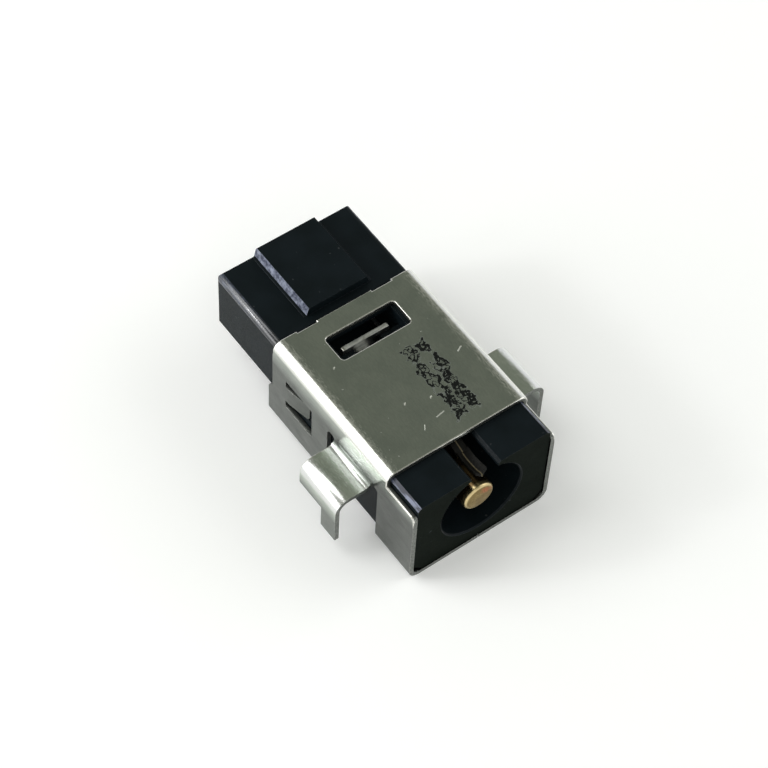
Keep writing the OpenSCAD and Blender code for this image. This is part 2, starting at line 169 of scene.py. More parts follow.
# %% Lamps
def softbox(name, direction, reach, width, height, brightness):
    towards = Vector(direction).normalized()
    lamp = bpy.data.lights.new(name, "AREA")
    lamp.shape = "RECTANGLE"
    lamp.size = width
    lamp.size_y = height
    lamp.energy = brightness * math.pi * width * height
    holder = bpy.data.objects.new(name, lamp)
    bpy.context.scene.collection.objects.link(holder)
    holder.location = towards * reach + Vector((0, 0, axis_z))
    holder.rotation_euler = (-towards).to_track_quat("-Z", "Y").to_euler()
    print(name, "power", round(lamp.energy, 2), "W")


softbox("window_low", (-0.88, 0.42, 0.22), 0.40, 0.28, 0.31, 2.8)
softbox("window_high", (-0.43, 0.44, 0.79), 0.40, 0.16, 0.36, 2.9)
softbox("window_core", (-0.76, 0.44, 0.48), 0.38, 0.045, 0.045, 30)
softbox("front_fill", (-0.30, -0.62, 0.72), 0.55, 0.32, 0.32, 0.8)
softbox("right_key", (0.78, -0.30, 0.55), 0.50, 0.36, 0.36, 1.7)

# %% [markdown]
# ## Room
# The world is the room round the table: pale walls near the horizon and a dim ceiling. Its
# colour follows the height of each direction, so it is the same room from every side.

# %% Room
room = bpy.data.worlds.new("room")
bpy.context.scene.world = room
room.use_nodes = True
sky = room.node_tree
where = sky.nodes.new("ShaderNodeTexCoord")
parts = sky.nodes.new("ShaderNodeSeparateXYZ")
ramp = sky.nodes.new("ShaderNodeValToRGB")
sky.links.new(where.outputs["Generated"], parts.inputs[0])
sky.links.new(parts.outputs["Z"], ramp.inputs[0])
sky.links.new(ramp.outputs[0], sky.nodes["Background"].inputs["Color"])
ramp.color_ramp.elements[0].position = 0.35
ramp.color_ramp.elements[0].color = (0.88, 0.89, 0.90, 1)
ramp.color_ramp.elements[1].position = 0.62
ramp.color_ramp.elements[1].color = (0.235, 0.245, 0.205, 1)
bpy.context.scene.view_settings.view_transform = "Standard"
print("room set")

# %% [markdown]
# ## Tools for finishes
# Every finish is worked out from the place on the part in millimetres, so its grain keeps its
# true size. Object coordinates are in metres, and a Mapping node turns them into millimetres. It
# can also stretch them, which makes streaks. The helpers below add one node each and return its
# output, so that a finish reads as a short recipe.


# %% Finish tools
def new_finish(name):
    finish = bpy.data.materials.new(name)
    finish.use_nodes = True
    return finish, finish.node_tree, finish.node_tree.nodes["Principled BSDF"]


def place_mm(tree, stretch=(1, 1, 1)):
    where = tree.nodes.new("ShaderNodeTexCoord")
    scale = tree.nodes.new("ShaderNodeMapping")
    scale.inputs["Scale"].default_value = [v / MM for v in stretch]
    tree.links.new(where.outputs["Object"], scale.inputs["Vector"])
    return scale.outputs["Vector"]


def noise(tree, place, per_mm, detail=2.0, seed=0.0):
    node = tree.nodes.new("ShaderNodeTexNoise")
    node.noise_dimensions = "4D"
    node.inputs["W"].default_value = seed
    node.inputs["Scale"].default_value = per_mm
    node.inputs["Detail"].default_value = detail
    tree.links.new(place, node.inputs["Vector"])
    return node.outputs["Fac"]


def remap(tree, value, low, high, to_low=0.0, to_high=1.0):
    node = tree.nodes.new("ShaderNodeMapRange")
    node.inputs["From Min"].default_value = low
    node.inputs["From Max"].default_value = high
    node.inputs["To Min"].default_value = to_low
    node.inputs["To Max"].default_value = to_high
    tree.links.new(value, node.inputs["Value"])
    return node.outputs["Result"]


def combine(tree, kind, first, second):
    node = tree.nodes.new("ShaderNodeMath")
    node.operation = kind
    for socket, value in zip(node.inputs, (first, second)):
        if isinstance(value, (int, float)):
            socket.default_value = value
        else:
            tree.links.new(value, socket)
    return node.outputs[0]


def two_tone(tree, factor, first, second):
    node = tree.nodes.new("ShaderNodeMix")
    node.data_type = "RGBA"
    tree.links.new(factor, node.inputs[0])
    for socket, value in zip((node.inputs[6], node.inputs[7]), (first, second)):
        if isinstance(value, tuple):
            socket.default_value = (*value, 1)
        else:
            tree.links.new(value, socket)
    return node.outputs[2]


def dimmed(tree, colour, factor):
    node = tree.nodes.new("ShaderNodeVectorMath")
    node.operation = "SCALE"
    tree.links.new(colour, node.inputs[0])
    tree.links.new(factor, node.inputs["Scale"])
    return node.outputs[0]


def axes_of(tree, place):
    node = tree.nodes.new("ShaderNodeSeparateXYZ")
    tree.links.new(place, node.inputs[0])
    return node.outputs


def emboss(tree, shader, height, depth_mm):
    node = tree.nodes.new("ShaderNodeBump")
    node.inputs["Distance"].default_value = depth_mm * MM
    tree.links.new(height, node.inputs["Height"])
    tree.links.new(node.outputs["Normal"], shader.inputs["Normal"])


print("finish tools ready")

# %% [markdown]
# ## Nickel plate
# The shell is rolled steel strip with a satin nickel plate. Close up it is not even: soft clouds
# of handling, a grain that runs along the strip, pin-prick specks, and a few short scratches. A
# scratch is a thin capsule, so its mask is the distance to a line from one end to the other.


# %% Scratch mask
def scratch(tree, place, start, end, width):
    """1 on a thin line between two places in mm, 0 elsewhere."""
    a = Vector(start)
    b = Vector(end)
    run = b - a
    away = tree.nodes.new("ShaderNodeVectorMath")
    away.operation = "SUBTRACT"
    tree.links.new(place, away.inputs[0])
    away.inputs[1].default_value = a
    along = tree.nodes.new("ShaderNodeVectorMath")
    along.operation = "DOT_PRODUCT"
    tree.links.new(away.outputs[0], along.inputs[0])
    along.inputs[1].default_value = run / run.length_squared
    share = remap(tree, along.outputs["Value"], 0, 1)
    foot = tree.nodes.new("ShaderNodeVectorMath")
    foot.operation = "SCALE"
    foot.inputs[0].default_value = run
    tree.links.new(share, foot.inputs["Scale"])
    gap = tree.nodes.new("ShaderNodeVectorMath")
    gap.operation = "DISTANCE"
    tree.links.new(away.outputs[0], gap.inputs[0])
    tree.links.new(foot.outputs[0], gap.inputs[1])
    return remap(tree, gap.outputs["Value"], width * 0.5, width, 1, 0)


print("scratch mask ready")

# %% [markdown]
# The strip's own look comes first. Clouds and grain vary its colour and roughness, and draw lines
# run beside the long bends. The walls are painted much darker than the plate, most of all at the
# mouth: painted shade for the shaded table they mirror. The bends beside the plate get a ragged
# pale band of painted highlight.

# %% Nickel plate
nickel, tree, shader = new_finish("satin_nickel")
here = place_mm(tree)
strip = place_mm(tree, stretch=(1, 0.25, 1))
drawn = place_mm(tree, stretch=(1, 0.03, 1))
across, along, height = axes_of(tree, here)
side = combine(tree, "ABSOLUTE", across, 0)
clouds = noise(tree, here, 0.7, 3, 1.0)
grain = noise(tree, strip, 14, 2, 2.0)
fine = noise(tree, here, 30, 1, 3.0)
lines = noise(tree, drawn, 7, 2, 4.0)
soft_part = combine(tree, "MULTIPLY", clouds, 0.6)
tone = combine(tree, "ADD", soft_part, combine(tree, "MULTIPLY", grain, 0.4))
plate = two_tone(tree, remap(tree, tone, 0.38, 0.62), (0.335, 0.370, 0.330), (0.435, 0.470, 0.425))

top = shell_high.z / MM
front = mouth_y / MM
axis = axis_z / MM
wall = 5.1
# Painted shade: below the bends the walls are darkened to about a quarter of the plate's colour, darkest
# at the mouth.
blotch = noise(tree, place_mm(tree, stretch=(1, 0.6, 1)), 1.7, 5, 11.0)
low_down = remap(tree, height, top - 0.8, top - 1.8)
low_down = combine(tree, "MULTIPLY", low_down, remap(tree, side, wall + 0.05, wall + 0.3, 1, 0))
shade = remap(tree, along, front, front + 9, 0.25, 0.28)
shade = combine(tree, "ADD", shade, remap(tree, blotch, 0.3, 0.7, -0.06, 0.06))
shade = combine(tree, "MULTIPLY", shade, low_down)
shade = combine(tree, "ADD", shade, remap(tree, low_down, 0, 1, 1, 0))
plate = dimmed(tree, plate, shade)

# Painted highlight: a ragged pale band along the bends beside the plate.
fine_part = combine(tree, "MULTIPLY", fine, 0.6)
flecks = combine(tree, "ADD", combine(tree, "MULTIPLY", grain, 0.6), fine_part)
ragged = combine(tree, "ADD", side, remap(tree, flecks, 0.45, 0.75, -0.30, 0.30))
bend = remap(tree, height, top - 0.66, top - 0.45)
bend = combine(tree, "MULTIPLY", remap(tree, ragged, 4.30, 4.52), bend)
bend = combine(tree, "MULTIPLY", bend, remap(tree, side, wall + 0.05, wall + 0.1, 1, 0))
plate = two_tone(tree, bend, plate, (0.80, 0.81, 0.77))
print("nickel: strip grain, dark walls and pale bends")

# %% [markdown]
# The tabs stand out past the walls, so distance from the middle picks them. Their tops are
# lightened as painted light and their legs darkened as painted shade, and both of their bends are
# painted pale as highlights. The last marks are specks and a few short scratches.

# %% Tabs, specks and scratches
on_tab = remap(tree, side, wall + 0.1, wall + 0.25)
# Painted light and shade: the tab tops are lightened to 1.5 times and the legs darkened to under half.
lift = remap(tree, height, axis + 0.1, axis - 0.9, 0.5, -0.55)
lift = combine(tree, "MULTIPLY", on_tab, lift)
plate = dimmed(tree, plate, combine(tree, "ADD", lift, 1))
# Painted highlight: both bends of each tab are painted pale.
curl_highlight = remap(tree, height, axis, axis + 0.25)
curl_highlight = combine(tree, "MULTIPLY", remap(tree, ragged, 6.70, 7.00), curl_highlight)
fold_highlight = remap(tree, ragged, 6.0, 5.8)
fold_highlight = combine(tree, "MULTIPLY", remap(tree, ragged, 5.28, 5.45), fold_highlight)
tab_bend_highlights = combine(tree, "MULTIPLY", combine(tree, "MAXIMUM", curl_highlight, fold_highlight), on_tab)
plate = two_tone(tree, tab_bend_highlights, plate, (0.78, 0.79, 0.78))

marks = [((3.56, 7.45), (3.92, 7.64), 0.035),
         ((-0.24, 4.42), (0.34, 4.52), 0.03),
         ((-1.34, 4.09), (-1.14, 4.37), 0.03),
         ((-1.26, 6.15), (-1.18, 6.23), 0.05),
         ((0.27, 5.70), (0.35, 5.76), 0.05),
         ((-3.16, 10.54), (-3.08, 10.60), 0.05)]
worn = None
for a, b, width in marks:
    ends = [(x, front + y, top) for x, y in (a, b)]
    mark = scratch(tree, here, ends[0], ends[1], width)
    worn = mark if worn is None else combine(tree, "MAXIMUM", worn, mark)
prick = remap(tree, noise(tree, here, 9, 0, 5.0), 0.85, 0.89)
worn = combine(tree, "MAXIMUM", worn, prick)
plate = two_tone(tree, worn, plate, (0.92, 0.91, 0.84))
print("tabs rubbed,", len(marks), "scratches")

# %% [markdown]
# A smudged block of ink darkens the top plate: two ragged bands of blots and of thin curls, which
# are the places where a noise is near its middle value. It spells nothing. The bands need "is
# this place between these two values", with soft ends, which a pair of ramps multiplied together
# gives.


# %% Ink on the top plate
def between(tree, value, low, high, soft):
    rise = remap(tree, value, low, low + soft)
    fall = remap(tree, value, high - soft, high, 1, 0)
    return combine(tree, "MULTIPLY", rise, fall)


def curls(tree, place, per_mm, seed, half_width):
    field = noise(tree, place, per_mm, 1, seed)
    middle = combine(tree, "ABSOLUTE", combine(tree, "SUBTRACT", field, 0.5), 0)
    return remap(tree, middle, half_width, half_width * 0.7)


wobble = remap(tree, noise(tree, here, 1.6, 2, 16.0), 0.3, 0.7, -0.22, 0.22)
lane = combine(tree, "ADD", across, wobble)
bands = between(tree, lane, 0.66, 1.56, 0.06)
bands = combine(tree, "ADD", bands, between(tree, lane, 1.64, 2.48, 0.06))
reach = combine(tree, "ADD", along, wobble)
block = combine(tree, "MULTIPLY", bands, between(tree, reach, front + 3.6, front + 9.5, 0.1))
block = combine(tree, "MULTIPLY", block, remap(tree, height, top - 0.05, top - 0.02))
winding = curls(tree, here, 2.6, 9.0, 0.06)
winding = combine(tree, "MAXIMUM", winding, curls(tree, here, 3.4, 12.0, 0.06))
blots = remap(tree, noise(tree, here, 3.6, 2, 21.0), 0.52, 0.55)
winding = combine(tree, "MAXIMUM", winding, blots)
faded = remap(tree, noise(tree, here, 1.3, 2, 14.0), 0.35, 0.41)
ink = combine(tree, "MULTIPLY", block, combine(tree, "MULTIPLY", winding, faded))
plate = two_tone(tree, ink, plate, (0.004, 0.005, 0.004))
shader.inputs["Specular IOR Level"].default_value = 0.12
tree.links.new(plate, shader.inputs["Base Color"])
tree.links.new(remap(tree, ink, 0, 1, 1, 0), shader.inputs["Metallic"])
rough = remap(tree, tone, 0.3, 0.7, 0.27, 0.19)
rough = combine(tree, "MAXIMUM", rough, combine(tree, "MULTIPLY", ink, 0.7))
tree.links.new(rough, shader.inputs["Roughness"])
near_bend = remap(tree, side, 3.4, 4.6, 0.1, 0.6)
relief = combine(tree, "ADD", grain, combine(tree, "MULTIPLY", fine, 0.5))
relief = combine(tree, "ADD", relief, combine(tree, "MULTIPLY", lines, near_bend))
relief = combine(tree, "SUBTRACT", relief, combine(tree, "MULTIPLY", worn, 2.0))
emboss(tree, shader, relief, 0.0045)
print("ink bands on the top plate")

# %% [markdown]
# ## Burnished and sheared metal
# Where sheet is bent or rubbed its edges are polished bright. Where it is cut by a die the face
# is torn and dull, so it has a finish of its own, with a coarser roughness.

# %% Edge metals
burnished, tree, shader = new_finish("burnished_edge")
here = place_mm(tree)
rub = noise(tree, here, 9, 2, 4.0)
tree.links.new(two_tone(tree, remap(tree, rub, 0.35, 0.65), (0.66, 0.66, 0.62), (0.90, 0.89, 0.84)),
               shader.inputs["Base Color"])
tree.links.new(remap(tree, rub, 0.3, 0.7, 0.32, 0.16), shader.inputs["Roughness"])
shader.inputs["Metallic"].default_value = 1
emboss(tree, shader, rub, 0.003)

sheared, tree, shader = new_finish("sheared_edge")
here = place_mm(tree)
tear = noise(tree, here, 12, 3, 6.0)
tree.links.new(two_tone(tree, remap(tree, tear, 0.35, 0.65), (0.11, 0.12, 0.11), (0.27, 0.28, 0.26)),
               shader.inputs["Base Color"])
tree.links.new(remap(tree, tear, 0.3, 0.7, 0.55, 0.35), shader.inputs["Roughness"])
shader.inputs["Metallic"].default_value = 1
emboss(tree, shader, tear, 0.01)
print("edge metals ready")

# %% [markdown]
# ## Moulded plastic
# The housing is a glass-filled black plastic with a faint blue-green cast. The mould's surface
# was eroded by sparks, so the plastic has a very fine matt grain, with dust specks on top. The
# face round the bore is the dullest. The left shoulder is smooth and glossy, and its pale colour
# is a painted sheen, brightest at the rear. The drafted flanks of the raised boss drag on the mould
# as the part comes out, which leaves streaks, and their chalky pale is a painted sheen. The
# chamfers of the front block are pale, with streaks.

# %% Plastics
def plain_moulding(name, dark, light, gloss, rough_high, rough_low):
    finish, tree, shader = new_finish(name)
    here = place_mm(tree)
    flow = noise(tree, here, 0.6, 3, 1.5)
    spark = noise(tree, here, 16, 2, 2.5)
    body = two_tone(tree, remap(tree, flow, 0.35, 0.65), dark, light)
    dust = remap(tree, noise(tree, here, 4.2, 0, 7.0), 0.82, 0.85)
    body = two_tone(tree, dust, body, (0.03, 0.034, 0.036))
    tree.links.new(body, shader.inputs["Base Color"])
    tree.links.new(remap(tree, spark, 0.3, 0.7, rough_high, rough_low), shader.inputs["Roughness"])
    shader.inputs["Specular IOR Level"].default_value = gloss
    emboss(tree, shader, spark, 0.005)
    return finish


moulded = plain_moulding("black_moulding", (0.0033, 0.0062, 0.0074),
                         (0.0052, 0.0088, 0.0110), 0.085, 0.55, 0.40)
mouth_face = plain_moulding("dull_mouth_face", (0.0045, 0.0070, 0.0050),
                            (0.0065, 0.0095, 0.0070), 0.03, 0.8, 0.6)

shoulder, tree, shader = new_finish("shoulder_painted_sheen")
along = axes_of(tree, place_mm(tree))[1]
rub = noise(tree, place_mm(tree, stretch=(1, 0.5, 1)), 4, 4, 5.5)
# Painted sheen: the pale colour stands for the softbox's highlight on the rounded shoulder, brightest at
# the rear.
pale = two_tone(tree, remap(tree, rub, 0.38, 0.64), (0.010, 0.014, 0.024), (0.048, 0.060, 0.090))
pale = dimmed(tree, pale, remap(tree, along, front + 14, front + 19.8, 0.15, 1.1))
tree.links.new(pale, shader.inputs["Base Color"])
tree.links.new(remap(tree, rub, 0.3, 0.7, 0.25, 0.17), shader.inputs["Roughness"])
shader.inputs["Specular IOR Level"].default_value = 1
emboss(tree, shader, rub, 0.003)

worn_plastic, tree, shader = new_finish("worn_moulding_edge")
here = place_mm(tree)
scuff = noise(tree, here, 5, 3, 3.5)
tree.links.new(two_tone(tree, remap(tree, scuff, 0.4, 0.7), (0.010, 0.014, 0.017), (0.035, 0.042, 0.052)),
               shader.inputs["Base Color"])
tree.links.new(remap(tree, scuff, 0.3, 0.7, 0.34, 0.5), shader.inputs["Roughness"])
shader.inputs["Specular IOR Level"].default_value = 0.3
emboss(tree, shader, scuff, 0.004)

flank_drag_and_sheen, tree, shader = new_finish("flank_drag_streaks_and_sheen")
here = place_mm(tree)
pull = place_mm(tree, stretch=(1, 0.7, 0.3))
streak = noise(tree, pull, 8, 4, 8.0)
patch = noise(tree, here, 3.0, 5, 6.5)
half_streak = combine(tree, "MULTIPLY", streak, 0.5)
streaks_and_sheen = combine(tree, "ADD", half_streak, combine(tree, "MULTIPLY", patch, 0.5))
# Painted sheen: the chalky pale of the streaks stands for lamp light on the rough flanks.
tree.links.new(two_tone(tree, remap(tree, streaks_and_sheen, 0.42, 0.60), (0.035, 0.042, 0.075), (0.30, 0.33, 0.42)),
               shader.inputs["Base Color"])
tree.links.new(remap(tree, streaks_and_sheen, 0.3, 0.7, 0.6, 0.45), shader.inputs["Roughness"])
emboss(tree, shader, streaks_and_sheen, 0.012)

chamfer, tree, shader = new_finish("pale_streaked_chamfer")
slide = place_mm(tree, stretch=(1, 0.16, 1))
streak = noise(tree, slide, 5, 3, 18.0)
tree.links.new(two_tone(tree, remap(tree, streak, 0.50, 0.62), (0.012, 0.016, 0.032), (0.14, 0.16, 0.24)),
               shader.inputs["Base Color"])
tree.links.new(remap(tree, streak, 0.3, 0.7, 0.55, 0.4), shader.inputs["Roughness"])
emboss(tree, shader, streak, 0.008)
print("plastics ready")

# %% [markdown]
# ## Gold and tin
# The pin is gold over nickel, with a dull face. Its rounded rim is painted pale as a highlight, one
# coppery patch on the face is a painted reflection, and the shank behind the tip is painted brown
# as the shade inside the bore. The contacts are tinned strip, tarnished in patches. The leaf in the
# slot is painted nearly black as the shade under the plate, and a thin glint is painted along its
# crease.

# %% Contact metals
gold, tree, shader = new_finish("gold_plate")
here = place_mm(tree)
across, along, height = axes_of(tree, here)
touch = noise(tree, here, 2.5, 4, 1.2)
turned = noise(tree, here, 18, 2, 2.2)
tip = pin_low.y / MM
face = two_tone(tree, remap(tree, touch, 0.35, 0.7), (0.22, 0.145, 0.042), (0.34, 0.24, 0.080))
# Painted highlight: the rounded rim, past 0.86 mm from the axis, is painted pale.
lift = combine(tree, "SUBTRACT", height, axis)
from_axis = combine(tree, "POWER", across, 2)
from_axis = combine(tree, "ADD", from_axis, combine(tree, "POWER", lift, 2))
from_axis = combine(tree, "SQRT", from_axis, 0)
face = two_tone(tree, remap(tree, from_axis, 0.86, 0.95), face, (0.66, 0.53, 0.28))
# Painted reflection: an orange patch at the upper right of the face.
painted_orange_reflection = scratch(tree, here, (0.30, tip, axis + 0.50), (0.62, tip, axis + 0.30), 0.34)
painted_orange_reflection = combine(tree, "MULTIPLY", painted_orange_reflection, remap(tree, touch, 0.40, 0.55))
face = two_tone(tree, painted_orange_reflection, face, (0.42, 0.15, 0.05))
# Painted shade: the shank inside the bore is painted dark brown.
shank = remap(tree, along, tip + 0.22, tip + 0.40)
face = two_tone(tree, shank, face, (0.15, 0.10, 0.045))
tree.links.new(face, shader.inputs["Base Color"])
tree.links.new(remap(tree, touch, 0.3, 0.7, 0.36, 0.24), shader.inputs["Roughness"])
shader.inputs["Metallic"].default_value = 1
emboss(tree, shader, turned, 0.002)

tin, tree, shader = new_finish("tinned_strip")
here = place_mm(tree)
across, along = axes_of(tree, here)[:2]
roll_way = place_mm(tree, stretch=(0.2, 1, 1))
tarnish = noise(tree, here, 1.6, 4, 3.2)
rolled = noise(tree, roll_way, 5, 2, 4.2)
strip_tone = two_tone(tree, remap(tree, rolled, 0.36, 0.64), (0.50, 0.51, 0.51), (0.82, 0.82, 0.81))
strip_tone = two_tone(tree, remap(tree, tarnish, 0.56, 0.68), strip_tone, (0.36, 0.35, 0.32))
# Painted shade: the tin in front of the window, the leaf in the slot, is painted nearly black and not
# metallic.
leaf_painted_shade = remap(tree, along, front + 8.0, front + 10.0, 1, 0)
strip_tone = two_tone(tree, leaf_painted_shade, strip_tone, (0.005, 0.005, 0.004))
# Painted glint: a thin pale line along the leaf's crease.
painted_crease_glint = combine(tree, "ABSOLUTE", across, 0)
painted_crease_glint = remap(tree, painted_crease_glint, 0.05, 0.03)
painted_crease_glint = combine(tree, "MULTIPLY", painted_crease_glint, leaf_painted_shade)
strip_tone = two_tone(tree, painted_crease_glint, strip_tone, (0.12, 0.10, 0.06))
tree.links.new(strip_tone, shader.inputs["Base Color"])
tin_rough = remap(tree, tarnish, 0.3, 0.7, 0.42, 0.26)
tin_rough = combine(tree, "MAXIMUM", tin_rough, combine(tree, "MULTIPLY", leaf_painted_shade, 0.6))
tree.links.new(tin_rough, shader.inputs["Roughness"])
tree.links.new(remap(tree, leaf_painted_shade, 0, 1, 1, 0), shader.inputs["Metallic"])
shader.inputs["Specular IOR Level"].default_value = 0.15
emboss(tree, shader, rolled, 0.003)
print("contact metals ready")

# %% [markdown]
# ## A finished copy of a solid
# The shell, the housing and the contacts have the right shape already, but every edge is knife
# sharp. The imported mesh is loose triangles, so a copy is merged into one skin, flat areas are
# joined into single faces, and a Bevel modifier then rounds each sharp edge. The modifier can
# give its new faces a finish of their own, which puts the burnished metal exactly on the edges.
# A Weighted Normal modifier lets the large faces decide the shading, so they look truly flat.


# %% Copying a solid
def loose_ends(piece):
    """Counts edges that do not join exactly two faces: 0 on a closed skin."""
    used = {}
    for face in piece.data.polygons:
        for key in face.edge_keys:
            used[key] = used.get(key, 0) + 1
    return sum(1 for count in used.values() if count != 2)


def merged_copy(node, name, finishes):
    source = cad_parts[node]
    piece = bpy.data.objects.new(name, source.data.copy())
    bpy.context.scene.collection.objects.link(piece)
    piece.data.materials.clear()
    for finish in finishes:
        piece.data.materials.append(finish)
    deselect()
    piece.select_set(True)
    bpy.context.view_layer.objects.active = piece
    bpy.ops.object.mode_set(mode="EDIT")
    bpy.ops.mesh.select_all(action="SELECT")
    bpy.ops.mesh.remove_doubles(threshold=0.001 * MM)
    bpy.ops.mesh.dissolve_limited(angle_limit=math.radians(0.5))
    bpy.ops.object.mode_set(mode="OBJECT")
    for face in piece.data.polygons:
        face.material_index = 0
    print(name, len(piece.data.polygons), "faces,", loose_ends(piece), "loose edges")
    return piece


def soften(piece, width_mm, edge_finish, sharp_deg=28):
    rounding = piece.modifiers.new("softened edges", "BEVEL")
    rounding.width = width_mm * MM
    rounding.segments = 2
    rounding.limit_method = "ANGLE"
    rounding.angle_limit = math.radians(sharp_deg)
    rounding.material = edge_finish
    rounding.use_clamp_overlap = True
    deselect()
    piece.select_set(True)
    bpy.context.view_layer.objects.active = piece
    bpy.ops.object.modifier_apply(modifier="softened edges")
    bpy.ops.object.shade_smooth_by_angle(angle=math.radians(38))
    piece.modifiers.new("flat faces shade flat", "WEIGHTED_NORMAL").keep_sharp = True
    bpy.ops.object.modifier_apply(modifier="flat faces shade flat")
    print(piece.name, "softened to", len(piece.data.polygons), "faces")


# %% [markdown]
# ## Shell
# One strip of 0.3 mm sheet: top plate with a window, two walls, a strap under the mouth, a lance
# pressed inward on each side, and a tab with a leg on each side. Its faces are of two kinds, the
# plated skin and the cut edges. A ray sent into the metal tells them apart: through the skin it
# meets the other side after one sheet, through a cut edge it travels further. Edges that need
# more than the fine rounding are picked by place and bevelled in edit mode.


# %% Cut faces and picked edges
def cut_faces(piece, sheet_mm):
    piece.data.calc_loop_triangles()
    largest = {}
    for tri in piece.data.loop_triangles:
        if tri.area > largest.get(tri.polygon_index, (0, None))[0]:
            largest[tri.polygon_index] = (tri.area, tri.center.copy())
    found = []
    for face in piece.data.polygons:
        inward = -face.normal
        start = largest[face.index][1] + inward * 0.002 * MM
        hit, where, normal, index = piece.ray_cast(start, inward)
        if hit and (where - start).length > sheet_mm * 1.25 * MM:
            found.append(face.index)
    return found


def bevel_edges(piece, wanted, width_mm, segments, finish):
    """Bevels the edges for which wanted(edge, end, other end) is true."""
    for group in (piece.data.vertices, piece.data.edges, piece.data.polygons):
        for item in group:
            item.select = False
    for edge in piece.data.edges:
        a, b = (piece.data.vertices[i].co for i in edge.vertices)
        edge.select = wanted(edge, a, b)
    print(piece.name, "edges picked", sum(edge.select for edge in piece.data.edges))
    deselect()
    piece.select_set(True)
    bpy.context.view_layer.objects.active = piece
    bpy.ops.object.mode_set(mode="EDIT")
    bpy.ops.mesh.select_mode(type="EDGE")
    bpy.ops.mesh.bevel(offset=width_mm * MM, segments=segments, affect="EDGES", material=finish)
    bpy.ops.object.mode_set(mode="OBJECT")


print("tools for sheet metal ready")

# %% [markdown]
# The tabs are rolled over softly, so the two arcs of each of their bends are opened to a larger
# radius: each corner keeps its angle round the arc and moves outward. A bend has an outer and an
# inner arc about one middle, so the sheet keeps its thickness.


# %% Softer bends on the tabs
sheet = 0.3
tab_front = 4.0
tab_rear = 7.65
curl_centre = (7.02, 0.37)
fold_centre = (5.45, 1.32)


def widen_bend(piece, centre, old_radius, new_radius, towards):
    """Gives the arcs round one bend of both tabs a larger radius.

    centre is the middle that the sheet's two arcs share, across and over the axis in mm. The
    first two signs of towards say on which side of it the arcs lie, across and up. The third is
    1 where the second arc lies outside old_radius, and -1 where it lies inside.
    """
    growth = new_radius - old_radius
    moved = 0
    for vertex in piece.data.vertices:
        place = vertex.co
        hand = math.copysign(1, place.x)
        across = abs(place.x) / MM - centre[0]
        up = (place.z - axis_z) / MM - centre[1]
        reach = math.hypot(across, up)
        inside = across * towards[0] > -0.001 and up * towards[1] > -0.001
        beside_tab = tab_front - 0.01 < (place.y - mouth_y) / MM < tab_rear + 0.01
        on_arcs = min(abs(reach - old_radius), abs(reach - old_radius - sheet * towards[2])) < 0.01
        if not (inside and beside_tab and on_arcs):
            continue
        across = across / reach * (reach + growth) - towards[0] * growth
        up = up / reach * (reach + growth) - towards[1] * growth
        place.x = hand * (centre[0] + across) * MM
        place.z = axis_z + (centre[1] + up) * MM
        moved += 1
    print(piece.name, "bend of", new_radius, "mm:", moved, "corners moved")


print("tabs lie", tab_front, "to", tab_rear, "mm behind the mouth")

# %% [markdown]
# The rims of the plate, of the mouth and at the rear of the tabs are rubbed round and bright by
# handling, so they get a wider bevel than the rest. A rim is an edge where the outer skin meets a
# cut face. The upper front corners of the walls are rounder still.


# %% Which edges are rims
def mouth_corner(edge, a, b):
    at_mouth = max(a.y, b.y) < mouth_y + 0.02 * MM
    across_wall = abs(a.x - b.x) > 0.2 * MM and abs(a.z - b.z) < 0.02 * MM
    return at_mouth and across_wall and a.z > axis_z + 2 * MM


def outer_rims(piece):
    """Keys of the edges where the outer skin meets a cut face, away from the lances."""
    beside = {}
    for face in piece.data.polygons:
        outward = face.normal.z > 0.05 or face.normal.x * face.center.x > 0.05 * abs(face.center.x)
        for key in face.edge_keys:
            beside.setdefault(key, []).append((face.material_index, outward))
    return {key for key, sides in beside.items()
            if (0, True) in sides and any(index == 2 for index, outward in sides)}


def rim(edge, a, b):
    on_plate = min(a.z, b.z) > shell_high.z - 0.66 * MM
    high_up = min(a.z, b.z) > axis_z + 1.9 * MM
    at_mouth = max(a.y, b.y) < mouth_y + 2.8 * MM and (high_up or a.x > 0) and a.z > axis_z - 2.5 * MM
    tab_back = min(abs(a.x), abs(b.x)) > 5.3 * MM and min(a.y, b.y) > mouth_y + (tab_rear - 0.02) * MM
    return tuple(sorted(edge.vertices)) in rim_keys and (on_plate or at_mouth or tab_back)


print("rims and mouth corners are picked by place")

# %% [markdown]
# The steps now run in order: copy, tell the cut faces, open the bends, round the corners by the
# mouth, round the rims, and soften whatever edge is still sharp.

# %% Shell
shell = merged_copy("shell", "shell_plated", (nickel, burnished, sheared))
for index in cut_faces(shell, sheet):
    shell.data.polygons[index].material_index = 2
widen_bend(shell, curl_centre, 0.60, 0.95, (1, 1, -1))
widen_bend(shell, fold_centre, 0.35, 0.50, (-1, -1, 1))
bevel_edges(shell, mouth_corner, 0.3, 6, 2)
rim_keys = outer_rims(shell)
bevel_edges(shell, rim, 0.085, 2, 1)
soften(shell, 0.02, 1)
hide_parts("shell")
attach(shell, "root")
counts = [sum(f.material_index == i for f in shell.data.polygons) for i in range(3)]
print("shell: plated, burnished, sheared faces", counts)

# %% [markdown]
# ## Housing
# The moulding gets the same treatment. Its finishes are picked by place and by normal: the
# flanks of the boss are high on the rear block and lean a little from upright, the chamfers slope
# by 45 degrees, the left shoulder turns from upright to level, and one large face looks forward.

